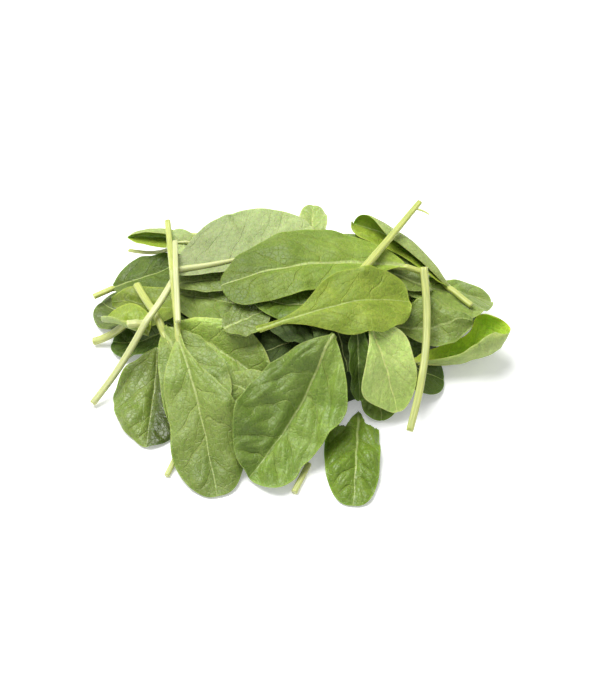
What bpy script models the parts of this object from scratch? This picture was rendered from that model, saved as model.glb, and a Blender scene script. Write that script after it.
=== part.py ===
"""A loose heap of baby spinach on a flat surface, with one torn leaf lying in front of it.

The heap is one solid: a low mound of buried leaves, and on it the leaves and cut stalks that show.
Each leaf is laid in turn, from the lowest to the topmost, and gives way over what lies under it.
+X is to the right of the heap, +Y to its back. The sizes below are in millimetres.
"""

import math
from typing import NamedTuple

import bmesh
import bpy
import numpy as np

MM = 0.001

BLADE_THICKNESS = 0.6
CLEARANCE = 0.35  # left between a leaf and what it is laid on
BURIED_DEPTH = 3.2  # how deep the middle of a leaf reaches into what it lies on
BLADE_END = 0.985  # the share of its length at which a blade's rounded tip ends

MOUND_CENTRE = (0, 15)
MOUND_HALF_SIZE = (58, 40)
MOUND_HEIGHT = 24
MOUND_STEEPNESS = 0.55  # 0.5 is an ellipsoid, and a larger power is flatter at the rim
MOUND_RINGS = 9
MOUND_SECTORS = 32
FILL_DEPTH = 1.6  # the filling under the leaves stays this much below them
FILL_MARGIN = 6  # and this far inside their edges

MAP_HALF_SIZE = (100, 90)
MAP_PITCH = 1.5

LAY_ALONG = 25  # points at which a leaf is laid, along it and across it
LAY_ACROSS = 13
LAY_SPREAD = 40  # how far the rise over an obstacle spreads through the blade, in points
STEEPEST_LEAF = math.radians(45)

SHOWING = (8, 4)  # cells along and across a blade
SMALL = (6, 4)
HIDDEN = (5, 3)
STALK_POINTS = 6

LEAF_GREEN = (0.19, 0.33, 0.06)
TORN_GREEN = (0.13, 0.25, 0.045)


class Leaf(NamedTuple):
    """One leaf, seen from above: its blade from base to tip, and its stalk from base to its cut end."""

    name: str
    base: tuple
    tip: tuple
    width: float
    stalk: tuple = None
    taper: float = 0.9  # the larger, the nearer to the tip its widest place
    rounding: float = 0.5  # the smaller, the blunter its tip
    bow: float = 0.0  # how far its midrib bends to the left of its run
    roll: float = 0.0  # degrees by which its left half is turned up
    arch: float = 2.0  # rise of its middle above its ends
    curl: float = 0.0  # rise of its tip
    left: tuple = (4, 14)  # slope of its left half at the midrib and at the edge, degrees
    right: tuple = (4, 14)
    heights: tuple = None  # of its base and tip, where it is held up and not only laid
    stalk_height: float = None
    stalk_radius: float = 1.1
    wave: float = 1.0
    free_from: float = 1.0  # the share of its length from which it hangs free
    cells: tuple = SMALL


class Stem(NamedTuple):
    """A cut stalk that lies alone, from one end to the other."""

    name: str
    start: tuple
    end: tuple
    heights: tuple = None
    radius: float = 1.2
    end_radius: float = 1.2


class Rest(NamedTuple):
    """How a leaf came to lie: heights of its base and tip, the give of its blade and its stalk's heights."""

    base: float
    tip: float
    give: np.ndarray
    stalk: np.ndarray = None


TORN_LEAF = Leaf(
    "loose_leaf", (22, -23), (19, -61), 19, taper=0.4, rounding=0.42, left=(8, -12), right=(8, -12),
    heights=(0.8, 0.8), arch=3, wave=0.5, cells=SHOWING,
)

# From the lowest to the topmost.
HEAP = (
    Leaf("back_slope_1", (-43, 36), (-53, 54), 20),
    Leaf("back_slope_2", (-18, 32), (-28, 58), 24),
    Leaf("back_slope_3", (4, 34), (0, 60), 24),
    Leaf("back_slope_4", (22, 30), (29, 55), 24),
    Leaf("back_slope_5", (36, 22), (51, 41), 22),
    Leaf("back_slope_6", (38, 16), (67, 27), 20),
    Leaf("floor_right", (25, -5), (55, -6), 23, taper=0.8),
    Leaf("floor_front", (39, -13), (8, -19), 24, taper=0.7),
    Leaf("floor_under", (27, -11), (31, -30), 18, taper=0.8),
    Leaf("floor_cup", (36, -1), (67, 4), 15, taper=0.8),
    Leaf("floor_left", (-37, 4), (-68, 11), 24, taper=0.8),
    Leaf("far_left", (-47, 10), (-75, 25), 22, taper=0.7),
    Leaf("left_back", (-68, 34), (-36, 39), 22, stalk=(-75, 30), taper=0.6, bow=-1, heights=(6, 14),
         stalk_height=5),
    Stem("thin_back", (-44, 42), (-63, 51), heights=(14, 8), radius=0.8, end_radius=0.7),
    Leaf("back_fold", (-39, 46), (-63, 54), 13, left=(15, 30), right=(70, 170), taper=0.6,
         heights=(19, 14), free_from=0.5),
    Leaf("right_back", (36, 19), (73, 26), 18, taper=0.8, heights=(22, 7), free_from=0.8),
    Leaf("right_middle", (32, 6), (65, 11), 18, taper=0.7),
    Leaf("right_cup", (36, -4), (77, 12), 20, taper=0.8, left=(10, 50), right=(20, 110), curl=4,
         wave=0.6, heights=(17, 7), free_from=0.5, cells=SHOWING),
    Leaf("inner_1", (14, -1), (-11, -9), 22, taper=0.7, cells=HIDDEN),
    Leaf("inner_2", (-11, 3), (13, -4), 20, taper=0.7, cells=HIDDEN),
    Leaf("inner_3", (13, 4), (23, -28), 22, taper=0.7, cells=HIDDEN),
    Leaf("left_wide", (-36, 10), (-68, 27), 19, taper=0.6),
    Leaf("left_stub", (-39, 6), (-28, 8), 10, stalk=(-74, 9), stalk_radius=1.4, cells=HIDDEN),
    Leaf("left_curl", (-51, 4), (-69, 18), 12, taper=0.7, left=(10, 70), right=(10, 60), free_from=0.6),
    Leaf("left_short", (-43, 4), (-32, 8), 10, stalk=(-58, 3), stalk_radius=1.4, cells=HIDDEN),
    Leaf("middle_broad", (-43, 23), (-9, 5), 24, stalk=(-73, -17), taper=0.7),
    Leaf("front_glossy", (-49, -1), (-52, -36), 26, taper=0.75, left=(15, 10), right=(40, 20),
         cells=SHOWING),
    Leaf("middle_round", (-41, 4), (-8, -20), 27, taper=0.8, cells=SHOWING),
    Leaf("middle_small", (-3, -28), (-24, -20), 20, taper=0.8),
    Stem("under_left", (-40, -38), (-44, -49), radius=1.0, end_radius=1.0),
    Leaf("front_under", (-47, 3), (-29, -36), 27, stalk=(-59, 27), taper=0.8, cells=SHOWING),
    Leaf("dark_fold", (20, 0), (22, -24), 10, taper=0.8, left=(40, 60), right=(30, 60)),
    Leaf("centre_grey", (-24, -2), (-11, 7), 13, taper=0.6, cells=HIDDEN),
    Leaf("centre_dark", (8, 0), (-13, 6), 14, taper=0.7, cells=HIDDEN),
    Stem("under_big", (5, -44), (0, -56), radius=1.1, end_radius=1.1),
    Leaf("front_big", (14, -8), (-13, -52), 33, taper=0.8, rounding=0.45, bow=1, left=(10, 25),
         right=(10, 25), cells=SHOWING),
    Leaf("front_right", (26, -2), (34, -30), 21, taper=0.65, rounding=0.45, cells=SHOWING),
    Leaf("back_round", (6, 32), (7, 58), 11, taper=0.7, heights=(28, 25), free_from=0.8),
    Leaf("back_broad", (-32, 23), (6, 44), 33, stalk=(-42, 22), taper=0.5, bow=4, heights=(28, 24),
         stalk_height=25, cells=SHOWING),
    Leaf("back_edge", (38, 27), (8, 37), 14, taper=0.7, heights=(25, 28)),
    Leaf("right_fold", (52, 27), (23, 47), 15, stalk=(64, 14), taper=0.7, left=(15, 40),
         right=(60, 140), heights=(20, 27), stalk_height=14, free_from=0.7, cells=SHOWING),
    Leaf("crown", (33, 25), (-26, 12), 33, stalk=(47, 22), taper=0.6, bow=-3, heights=(30, 31),
         stalk_height=27, cells=SHOWING),
    Stem("kinked", (47, 22), (41, -31), heights=(28, 2.5), radius=1.4, end_radius=1.3),
    Leaf("front_left", (-41, -4), (-27, -58), 26, stalk=(-47, 48), taper=0.9, rounding=0.36, bow=1,
         stalk_height=27, cells=SHOWING),
    Stem("lone_left", (-45, 41), (-40, -3), radius=1.1, end_radius=1.2),
    Leaf("top_bright", (-13, -10), (42, 11), 31, taper=1.5, bow=1, roll=8, left=(4, 12),
         right=(-5, -40), cells=SHOWING),
    Stem("split", (26, 19), (46, 47), heights=(36, 38), radius=1.3, end_radius=1.2),
)


def unit(vector):
    return vector / np.linalg.norm(vector, axis=-1, keepdims=True)


def bowed_line(start, end, bow, share):
    """Points and directions in plan along a quadratic curve whose middle stands bow to the left."""
    start, end = np.array(start, float), np.array(end, float)
    run = end - start
    to_left = np.array([-run[1], run[0]]) / np.hypot(*run)
    middle = (start + end) / 2 + 2 * bow * to_left
    share = np.asarray(share, float)[..., None]
    points = (1 - share) ** 2 * start + 2 * share * (1 - share) * middle + share**2 * end
    return points, unit((1 - share) * (middle - start) + share * (end - middle))


def half_width(leaf, along):
    """Along to the power taper, times what is left of it to the power rounding, scaled to the width."""
    widest = leaf.taper / (leaf.taper + leaf.rounding)
    peak = widest**leaf.taper * (1 - widest) ** leaf.rounding
    share = along**leaf.taper * (1 - along) ** leaf.rounding / peak
    return np.maximum(leaf.width / 2 * share, leaf.stalk_radius * (along < 0.5))


def half_section(share, slopes):
    """How far sideways and up a half blade of width 1 has come, as its slope turns evenly."""
    first = math.radians(slopes[0])
    turn = math.radians(slopes[1]) - first
    sideways = (np.sin(first + turn * share) - math.sin(first)) / turn
    upwards = (math.cos(first) - np.cos(first + turn * share)) / turn
    return sideways, upwards


def between(grid, along, across):
    """The grid's value at along 0..1 and across -1..1, linear between its points."""
    rows, columns = grid.shape
    row = np.clip(along, 0, 1) * (rows - 1)
    column = (np.clip(across, -1, 1) + 1) / 2 * (columns - 1)
    i = np.minimum(row.astype(int), rows - 2)
    j = np.minimum(column.astype(int), columns - 2)
    row, column = row - i, column - j
    near = (1 - column) * grid[i, j] + column * grid[i, j + 1]
    far = (1 - column) * grid[i + 1, j] + column * grid[i + 1, j + 1]
    return (1 - row) * near + row * far


def blade_points(leaf, rest, along, across):
    """The top face of the blade at along 0..1 from base to tip and across -1..1 from right to left."""
    along, across = np.broadcast_arrays(np.asarray(along, float), np.asarray(across, float))
    plan, heading = bowed_line(leaf.base, leaf.tip, leaf.bow, along)
    length = math.dist(leaf.base, leaf.tip)
    climb = rest.tip - rest.base
    height = rest.base + climb * along + 4 * leaf.arch * along * (1 - along) + leaf.curl * along**4
    slope = (climb + 4 * leaf.arch * (1 - 2 * along) + 4 * leaf.curl * along**3) / length
    forward = unit(np.concatenate([heading, slope[..., None]], -1))
    left = np.stack([-heading[..., 1], heading[..., 0], 0 * slope], -1)
    up = np.cross(forward, left)
    roll = math.radians(leaf.roll)
    left, up = left * math.cos(roll) + up * math.sin(roll), up * math.cos(roll) - left * math.sin(roll)
    half = half_width(leaf, along)
    out_left, up_left = half_section(abs(across), leaf.left)
    out_right, up_right = half_section(abs(across), leaf.right)
    is_left = across > 0
    sideways = np.where(is_left, out_left, -out_right) * half
    turns = 2 * along + 0.25 * is_left
    ripple = leaf.wave * across**2 * np.sin(2 * np.pi * turns) * half / (leaf.width / 2)
    upwards = np.where(is_left, up_left, up_right) * half + ripple
    middle = np.concatenate([plan, height[..., None]], -1)
    points = middle + left * sideways[..., None] + up * upwards[..., None]
    points[..., 2] += between(rest.give, along, across)
    return points


def line_points(start, end, heights, share):
    """Points along a straight run in plan, at heights given at even steps."""
    plan, _ = bowed_line(start, end, 0, share)
    level = np.interp(share, np.linspace(0, 1, len(heights)), heights)
    return np.concatenate([plan, level[..., None]], -1)


def smoothed(values, axis):
    """Each value with a quarter of either neighbour."""
    steps = [(1, 1) if each == axis else (0, 0) for each in range(values.ndim)]
    padded = np.pad(values, steps, mode="edge")
    count = values.shape[axis]
    before, after = (np.take(padded, range(first, first + count), axis) for first in (0, 2))
    return before / 4 + values / 2 + after / 4


class Pile:
    """The height of all that is laid so far, on a square map of the plan."""

    def __init__(self):
        self.x, self.y = (np.arange(-half, half + MAP_PITCH, MAP_PITCH) for half in MAP_HALF_SIZE)
        self.height = mound_height(*np.meshgrid(self.x, self.y, indexing="ij"))

    def at(self, points, field):
        along = (points[..., 0] - self.x[0]) / (self.x[-1] - self.x[0])
        across = (points[..., 1] - self.y[0]) / (self.y[-1] - self.y[0]) * 2 - 1
        return between(field, along, across)

    def even(self):
        field = self.height
        for _ in range(4):
            field = smoothed(smoothed(field, 0), 1)
        return field

    def extreme(self, choose, cells):
        """The highest or lowest value within some cells, sideways and up and down the map."""
        field = self.height
        for _ in range(cells):
            padded = np.pad(field, 1, mode="edge")
            beside = choose(padded[:-2, 1:-1], padded[2:, 1:-1])
            field = choose(choose(field, beside), choose(padded[1:-1, :-2], padded[1:-1, 2:]))
        return field

    def add(self, points):
        i = np.rint((points[..., 0] - self.x[0]) / MAP_PITCH).astype(int)
        j = np.rint((points[..., 1] - self.y[0]) / MAP_PITCH).astype(int)
        np.maximum.at(self.height, (i, j), points[..., 2])

    def add_tube(self, points, radius):
        run = np.gradient(points[:, :2], axis=0)
        aside = unit(np.stack([-run[:, 1], run[:, 0], 0 * run[:, 0]], -1)) * radius
        for share, rise in ((-0.8, 0.6), (0, 1), (0.8, 0.6)):
            self.add(points + share * aside + np.array([0, 0, rise * radius]))


def mound_height(x, y):
    reach = ((x - MOUND_CENTRE[0]) / MOUND_HALF_SIZE[0]) ** 2
    reach = reach + ((y - MOUND_CENTRE[1]) / MOUND_HALF_SIZE[1]) ** 2
    return MOUND_HEIGHT * np.clip(1 - reach, 0, 1) ** MOUND_STEEPNESS


def raised_over(short, rounds):
    """The least rise that makes good what is short, spread smoothly around each obstacle."""
    give = np.maximum(short, 0)
    for _ in range(rounds):
        for axis in range(short.ndim):
            give = smoothed(give, axis)
        give = np.maximum(give, short)
    return give


def lay_leaf(leaf, pile):
    """Lays the leaf at the tilt that suits the pile, then lets it give way over what still stands out."""
    along = np.linspace(0, 1, LAY_ALONG)[:, None]
    across = np.linspace(-1, 1, LAY_ACROSS)[None, :]
    flat = np.zeros((LAY_ALONG, LAY_ACROSS))
    rest = Rest(0, 0, flat)
    if leaf.heights:
        rest = Rest(leaf.heights[0], leaf.heights[1] - leaf.curl, flat)
    else:
        weight = (half_width(leaf, along) / leaf.width + 0.1 + flat).ravel()
        terms = np.stack([weight, weight * (along + flat).ravel()], -1)
        steepest = math.dist(leaf.base, leaf.tip) * math.tan(STEEPEST_LEAF)
        even = pile.even()
        for _ in range(3):
            points = blade_points(leaf, rest, along, across)
            own = points[..., 2] - rest.base - (rest.tip - rest.base) * along
            wanted = pile.at(points, even) + CLEARANCE + BLADE_THICKNESS - own
            base, climb = np.linalg.lstsq(terms, wanted.ravel() * weight, rcond=None)[0]
            rest = Rest(base, base + np.clip(climb, -steepest, steepest), flat)
    points = blade_points(leaf, rest, along, across)
    highest = pile.extreme(np.maximum, 1)
    short = pile.at(points, highest) + CLEARANCE + BLADE_THICKNESS - points[..., 2]
    rest = rest._replace(give=raised_over(short, LAY_SPREAD))
    if leaf.stalk:
        rest = rest._replace(stalk=lay_stalk(leaf, rest, pile))
    pile.add(blade_points(leaf, rest, np.linspace(0, 1, 90)[:, None], np.linspace(-1, 1, 51)[None, :]))
    if leaf.stalk:
        share = np.linspace(0, 1, 90)
        pile.add_tube(line_points(leaf.base, leaf.stalk, rest.stalk, share), leaf.stalk_radius)
    return rest


def lay_stalk(leaf, rest, pile):
    """Heights from the base to the cut end: a stiff run that leaves the blade almost in its own slope."""
    share = np.linspace(0, 1, LAY_ALONG)
    plan = line_points(leaf.base, leaf.stalk, 0 * share, share)
    floor = pile.at(plan, pile.height) + leaf.stalk_radius + CLEARANCE / 2
    near = blade_points(leaf, rest, np.array([0, 0.1]), np.zeros(2))
    start = near[0, 2] - BLADE_THICKNESS / 2
    end = floor[-1] if leaf.stalk_height is None else leaf.stalk_height
    slope = (near[0, 2] - near[1, 2]) / math.dist(near[0, :2], near[1, :2])
    leaving = 0.4 * np.clip(slope, -0.8, 0.8) * math.dist(leaf.base, leaf.stalk) + 0.6 * (end - start)
    run = start * (2 * share**3 - 3 * share**2 + 1) + end * (3 * share**2 - 2 * share**3)
    run += leaving * (share**3 - 2 * share**2 + share) + (end - start) * (share**3 - share**2)
    short = floor - run
    short[0] = 0
    give = raised_over(short, LAY_SPREAD // 2)
    return run + give * np.minimum(1, share * 8)


def lay_stem(stem, pile):
    """Heights of a lone stalk: the straight run between its ends, raised where something is in its way."""
    share = np.linspace(0, 1, LAY_ALONG)
    plan = line_points(stem.start, stem.end, 0 * share, share)
    radius = stem.radius + (stem.end_radius - stem.radius) * share
    floor = pile.at(plan, pile.height) + radius + CLEARANCE / 2
    first, last = stem.heights or (floor[0], floor[-1])
    run = first + (last - first) * share
    heights = run + raised_over(floor - run, LAY_SPREAD // 2)
    pile.add_tube(line_points(stem.start, stem.end, heights, np.linspace(0, 1, 90)), stem.radius)
    return heights


def smooth_step(value):
    value = np.clip(value, 0, 1)
    return value * value * (3 - 2 * value)


def blade_object(leaf, rest, depth, collection):
    """An open blade with Solidify, thicker where it sinks into what it lies on."""
    grid = bmesh.new()
    bmesh.ops.create_grid(grid, x_segments=leaf.cells[0], y_segments=leaf.cells[1], size=1)
    bmesh.ops.triangulate(grid, faces=grid.faces[:])
    place = np.array([vertex.co[:2] for vertex in grid.verts])
    along = BLADE_END * (1 - (0.5 - place[:, 0] / 2) ** 1.3)
    across = place[:, 1]
    points = blade_points(leaf, rest, along, across)
    for vertex, point in zip(grid.verts, points):
        vertex.co = point * MM
    mesh = bpy.data.meshes.new(leaf.name)
    grid.to_mesh(mesh)
    grid.free()
    blade = bpy.data.objects.new(leaf.name, mesh)
    collection.objects.link(blade)
    sunk = blade.vertex_groups.new(name="sunk")
    inside = smooth_step((1 - abs(across)) / 0.4) * smooth_step(along / 0.1)
    inside = inside * smooth_step((leaf.free_from - along) / 0.15)
    above_floor = np.clip((points[:, 2] - BLADE_THICKNESS) / depth, 0, 1)
    for index, weight in enumerate(np.minimum(inside, above_floor)):
        sunk.add([index], float(weight), "REPLACE")
    shell = blade.modifiers.new("thickness", "SOLIDIFY")
    shell.thickness = depth * MM
    shell.offset = -1
    shell.vertex_group = "sunk"
    shell.thickness_vertex_group = BLADE_THICKNESS / depth
    return blade


def tube_object(name, points, radii, collection):
    """A stalk: a curve with a round bevel and filled caps, as a welded mesh."""
    curve = bpy.data.curves.new(name, "CURVE")
    curve.dimensions = "3D"
    curve.bevel_depth = MM
    curve.bevel_resolution = 1
    curve.use_fill_caps = True
    spline = curve.splines.new("POLY")
    spline.points.add(len(points) - 1)
    for node, point, radius in zip(spline.points, points, radii):
        node.co = (*(point * MM), 1)
        node.radius = radius
    guide = bpy.data.objects.new(name, curve)
    collection.objects.link(guide)
    mesh = evaluated_mesh(guide)
    bpy.data.objects.remove(guide)
    tube = bmesh.new()
    tube.from_mesh(mesh)
    bmesh.ops.remove_doubles(tube, verts=tube.verts[:], dist=1e-6)
    bmesh.ops.recalc_face_normals(tube, faces=tube.faces[:])
    tube.to_mesh(mesh)
    tube.free()
    stalk = bpy.data.objects.new(name, mesh)
    collection.objects.link(stalk)
    return stalk


def evaluated_mesh(thing):
    bpy.context.view_layer.update()
    graph = bpy.context.evaluated_depsgraph_get()
    return bpy.data.meshes.new_from_object(thing.evaluated_get(graph))


def stalk_object(leaf, rest, collection):
    """The stalk from its cut end into the blade, where it thins out as the midrib."""
    outside = np.linspace(1, 0, STALK_POINTS)
    stalk = line_points(leaf.base, leaf.stalk, rest.stalk, outside)
    rib = blade_points(leaf, rest, np.array([0.12, 0.25]), np.zeros(2))
    rib[:, 2] -= BLADE_THICKNESS
    radii = [leaf.stalk_radius] * STALK_POINTS + [0.8 * leaf.stalk_radius, 0.5 * leaf.stalk_radius]
    return tube_object(leaf.name + "_stalk", np.concatenate([stalk, rib]), radii, collection)


def stem_object(stem, heights, collection):
    share = np.linspace(0, 1, STALK_POINTS + 1)
    radii = stem.radius + (stem.end_radius - stem.radius) * share
    return tube_object(stem.name, line_points(stem.start, stem.end, heights, share), radii, collection)


def mound_object(pile, collection):
    """The filling: half a sphere, raised to the mound or to just below the leaves that hang over it."""
    dome = bmesh.new()
    bmesh.ops.create_uvsphere(dome, u_segments=MOUND_SECTORS, v_segments=2 * MOUND_RINGS, radius=1)
    below = [vertex for vertex in dome.verts if vertex.co.z < -0.01]
    bmesh.ops.delete(dome, geom=below, context="VERTS")
    bmesh.ops.holes_fill(dome, edges=[edge for edge in dome.edges if edge.is_boundary])
    bmesh.ops.triangulate(dome, faces=dome.faces[:])
    low = pile.extreme(np.minimum, round(FILL_MARGIN / MAP_PITCH))
    for vertex in dome.verts:
        x = MOUND_CENTRE[0] + MOUND_HALF_SIZE[0] * vertex.co.x
        y = MOUND_CENTRE[1] + MOUND_HALF_SIZE[1] * vertex.co.y
        under_leaves = pile.at(np.array([x, y]), low) - FILL_DEPTH
        height = max(under_leaves, mound_height(x, y)) if vertex.co.z > 0.01 else 0
        vertex.co = (x * MM, y * MM, height * MM)
    bmesh.ops.recalc_face_normals(dome, faces=dome.faces[:])
    mesh = bpy.data.meshes.new("spinach_heap")
    dome.to_mesh(mesh)
    dome.free()
    mound = bpy.data.objects.new("spinach_heap", mesh)
    collection.objects.link(mound)
    return mound


def keep_outer_skin(mesh):
    """Keeps the largest connected skin: sealed hollows are filled and loose scraps are dropped."""
    skin = bmesh.new()
    skin.from_mesh(mesh)
    bmesh.ops.remove_doubles(skin, verts=skin.verts[:], dist=1e-6)
    waiting = set(skin.faces)
    largest = set()
    while waiting:
        island = set()
        newest = {waiting.pop()}
        while newest:
            island |= newest
            borders = {edge for face in newest for edge in face.edges if len(edge.link_faces) == 2}
            newest = {face for edge in borders for face in edge.link_faces} & waiting
            waiting -= newest
        if len(island) > len(largest):
            largest = island
    scraps = [face for face in skin.faces if face not in largest]
    bmesh.ops.delete(skin, geom=scraps, context="FACES")
    bmesh.ops.triangulate(skin, faces=skin.faces[:])
    skin.to_mesh(mesh)
    skin.free()


def leaf_material(name, colour):
    material = bpy.data.materials.new(name)
    material.use_nodes = True
    shader = material.node_tree.nodes["Principled BSDF"]
    shader.inputs["Base Color"].default_value = (*colour, 1)
    shader.inputs["Roughness"].default_value = 0.45
    shader.inputs["Metallic"].default_value = 0
    return material


def finish(thing, material):
    thing.data.materials.clear()
    thing.data.materials.append(material)
    thing.data.shade_smooth()
    thing.data.set_sharp_from_angle(angle=math.radians(40))


def build_heap(collection):
    pile = Pile()
    leaves = bpy.data.collections.new("leaves")
    bpy.context.scene.collection.children.link(leaves)
    for piece in HEAP:
        if isinstance(piece, Stem):
            stem_object(piece, lay_stem(piece, pile), leaves)
            continue
        rest = lay_leaf(piece, pile)
        blade_object(piece, rest, BURIED_DEPTH, leaves)
        if piece.stalk:
            stalk_object(piece, rest, leaves)
    heap = mound_object(pile, collection)
    union = heap.modifiers.new("leaves", "BOOLEAN")
    union.operation = "UNION"
    union.operand_type = "COLLECTION"
    union.collection = leaves
    joined = evaluated_mesh(heap)
    heap.modifiers.remove(union)
    heap.data = joined
    for piece in list(leaves.objects):
        bpy.data.objects.remove(piece)
    bpy.data.collections.remove(leaves)
    keep_outer_skin(joined)
    finish(heap, leaf_material("spinach_leaves", LEAF_GREEN))
    print("heap triangles", len(joined.polygons))
    return heap


def build_torn_leaf(collection):
    flat = np.zeros((LAY_ALONG, LAY_ACROSS))
    rest = Rest(*TORN_LEAF.heights, flat)
    leaf = blade_object(TORN_LEAF, rest, BLADE_THICKNESS, collection)
    leaf.data = evaluated_mesh(leaf)
    leaf.modifiers.clear()
    finish(leaf, leaf_material("torn_leaf", TORN_GREEN))
    return leaf


def main():
    for thing in list(bpy.data.objects):
        bpy.data.objects.remove(thing)
    collection = bpy.data.collections.new("baby_spinach_heap")
    bpy.context.scene.collection.children.link(collection)
    build_heap(collection)
    build_torn_leaf(collection)


main()
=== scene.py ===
"""A loose heap of baby spinach, with its leaves, stalks and filling as separate pieces.

Every leaf is a function of two parameters, along its midrib and across it, worked out on a numpy grid.
The leaves are laid from the lowest to the topmost, and each gives way over what lies under it.
Tables and shape functions are in millimetres, and meshes in metres.
"""

import math
from functools import lru_cache
from typing import NamedTuple

import bpy
import numpy as np
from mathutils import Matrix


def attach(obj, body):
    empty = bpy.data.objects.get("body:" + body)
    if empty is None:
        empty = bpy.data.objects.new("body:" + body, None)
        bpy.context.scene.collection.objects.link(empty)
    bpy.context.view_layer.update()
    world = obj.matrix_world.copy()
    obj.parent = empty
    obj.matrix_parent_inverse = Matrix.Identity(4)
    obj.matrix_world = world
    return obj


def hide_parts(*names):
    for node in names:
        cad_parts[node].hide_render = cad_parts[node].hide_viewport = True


bl_info = {
    "name": "Baby spinach heap",
    "version": (1, 0, 0),
    "blender": (4, 5, 0),
    "location": "View3D > Sidebar > Spinach",
    "description": "A heap of baby spinach leaves with procedural leaf, stalk and filling materials",
    "category": "Add Mesh",
}

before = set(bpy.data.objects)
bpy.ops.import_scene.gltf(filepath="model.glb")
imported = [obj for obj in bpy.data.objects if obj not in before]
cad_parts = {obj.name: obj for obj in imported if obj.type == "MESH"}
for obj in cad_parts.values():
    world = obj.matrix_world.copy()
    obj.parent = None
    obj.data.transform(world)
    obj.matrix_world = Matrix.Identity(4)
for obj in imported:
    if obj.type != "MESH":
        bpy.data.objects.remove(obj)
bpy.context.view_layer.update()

MM = 0.001
BODY = "root"

BLADE_THICKNESS = 0.6  # for which the laying leaves room
CLEARANCE = 0.35  # left between a leaf and what it is laid on

MOUND_CENTRE = (0, 15)
MOUND_HALF_SIZE = (53, 39)
MOUND_HEIGHT = 24
MOUND_STEEPNESS = 0.55
BAY_CENTRE = (24, -25)  # a bay in the front of the mound
BAY_SIZE = (14, 17)
LEAST_HEIGHT = 1.5  # of the filling
FILLING_RINGS = 48
FILLING_SECTORS = 144

MAP_HALF_SIZE = (100, 90)
MAP_PITCH = 1.5
MAP_POINTS = (90, 51)  # of a laid leaf, along and across

LAY_ALONG = 25  # points at which a leaf is laid
LAY_ACROSS = 13
LAY_SPREAD = 40  # rounds of smoothing that spread a rise around an obstacle
STEEPEST_LEAF = math.radians(45)

STALK_SIDES = 20
STALK_POINTS = 60  # along a lone stalk or a midrib
RIB_REACH = 0.9  # how far along its blade a midrib runs
CUT_END = 0.93  # a cut end's share of its stalk's radius

FLOOR_SIZE = 3.0  # half its side, in metres as the next two
KEY_SIZE = 0.75
KEY_PLACE = (-0.28, 0.25, 0.88)

FINE = (120, 56)  # cells along and across a blade
PLAIN = (80, 36)
EVEN = (1, 1, 1, 1, 1)

# Direction, wavelength and share of the dents that run over each blade.
BUCKLES = ((0.9, 17.0, 1.0), (2.3, 12.0, 0.7), (4.1, 8.5, 0.45), (5.6, 6.0, 0.25))

BRIGHT = (0.27, 0.36, 0.035)
FRESH = (0.21, 0.285, 0.055)
DEEP = (0.145, 0.225, 0.022)
# SHADED is painted shade: a darker green for leaves that lie in the heap's hollows and at its foot.
SHADED = (0.09, 0.15, 0.018)
PALE = (0.33, 0.42, 0.12)
CROWN_GREEN = (0.25, 0.36, 0.038)
GLOSSY_GREEN = (0.145, 0.215, 0.034)


class Leaf(NamedTuple):
    """One leaf, seen from above: its blade from base to tip, and its stalk from base to its cut end."""

    group: str
    name: str  # which also sets how it buckles
    base: tuple
    tip: tuple
    width: float
    tone: tuple = FRESH
    shade: float = 1.0  # its tone's share: partly the leaf's own tone, partly painted light and shade, as on the darkened inner leaves
    tip_tone_and_shade: float = 0.0  # how much lighter its tip is than its base: painted shade along the blade, as on a tip that curls down away from the light, with some change of its own tone
    stalk: tuple = None  # where its stalk is cut, if the stalk shows
    taper: float = 0.9  # the larger, the nearer to the tip its widest place
    rounding: float = 0.5  # the smaller, the blunter its tip
    bend: tuple = (0, 0, 0)  # how far to the left of its run its midrib lies at each quarter
    left_form: tuple = EVEN  # the left half's share of its width, at even steps from base to tip
    right_form: tuple = EVEN
    roll: float = 0.0  # degrees by which its left half is turned up
    arch: float = 2.0  # rise of its middle above its ends
    curl: float = 0.0  # rise of its tip
    left: tuple = (4, 14)  # slope of its left half at the midrib and at the edge, degrees
    right: tuple = (4, 14)
    heights: tuple = None  # of its base and tip, where it is held up and not only laid
    stalk_height: float = None  # of the cut end, where it is held up
    stalk_radius: float = 1.1
    wave: float = 1.0  # how far its edges ripple
    quilt: float = 0.6  # how far the blade bulges between its side veins
    buckle: float = 0.35  # how far it is dented and raised over 6 to 17 mm
    vein_pairs: float = 4.0
    rib: float = 1.0  # its midrib's share of the usual breadth
    gloss: float = 0.5  # the higher, the smoother its face and the lighter its veins and rim
    opening: float = 0.0  # the share by which its halves turn less at the tip
    half_painted_shade: tuple = (1, 1)  # painted light and shade: the share of its tone that its left and its right half have, lower on a half in shade, higher on a lit half
    under: bool = False  # its paler underside lies up
    cells: tuple = PLAIN  # of its mesh, along and across


class Stem(NamedTuple):
    """A cut stalk that lies alone, from one end to the other."""

    name: str
    start: tuple
    end: tuple
    heights: tuple = None  # of its ends, where it is held up and not only laid
    radius: float = 1.2
    end_radius: float = 1.2
    bend: float = 0.0  # how far to the left of its run its middle lies
    pale: float = 0.4  # how far it is whitened
    grows: bool = False  # out of another stalk, so that nothing lifts it


class Rest(NamedTuple):
    """How a leaf came to lie: heights of its base and tip, the give of its blade and its stalk's heights."""

    base: float
    tip: float
    give: np.ndarray
    stalk: np.ndarray = None


TORN_LEAF = Leaf("torn_leaf", "loose_leaf", (23, -20), (20.2, -61.4), 19, DEEP, 1.08, taper=0.16,
                 rounding=0.36, left_form=(0.8, 0.82, 0.9, 1.07, 1.2),
                 right_form=(1.1, 1.16, 1.25, 1.3, 1.3), left=(8, -12), right=(8, -12), heights=(0.8, 0.8),
                 arch=3, wave=0.5, quilt=0.9, buckle=0.5, gloss=0.65, cells=FINE)
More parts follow.
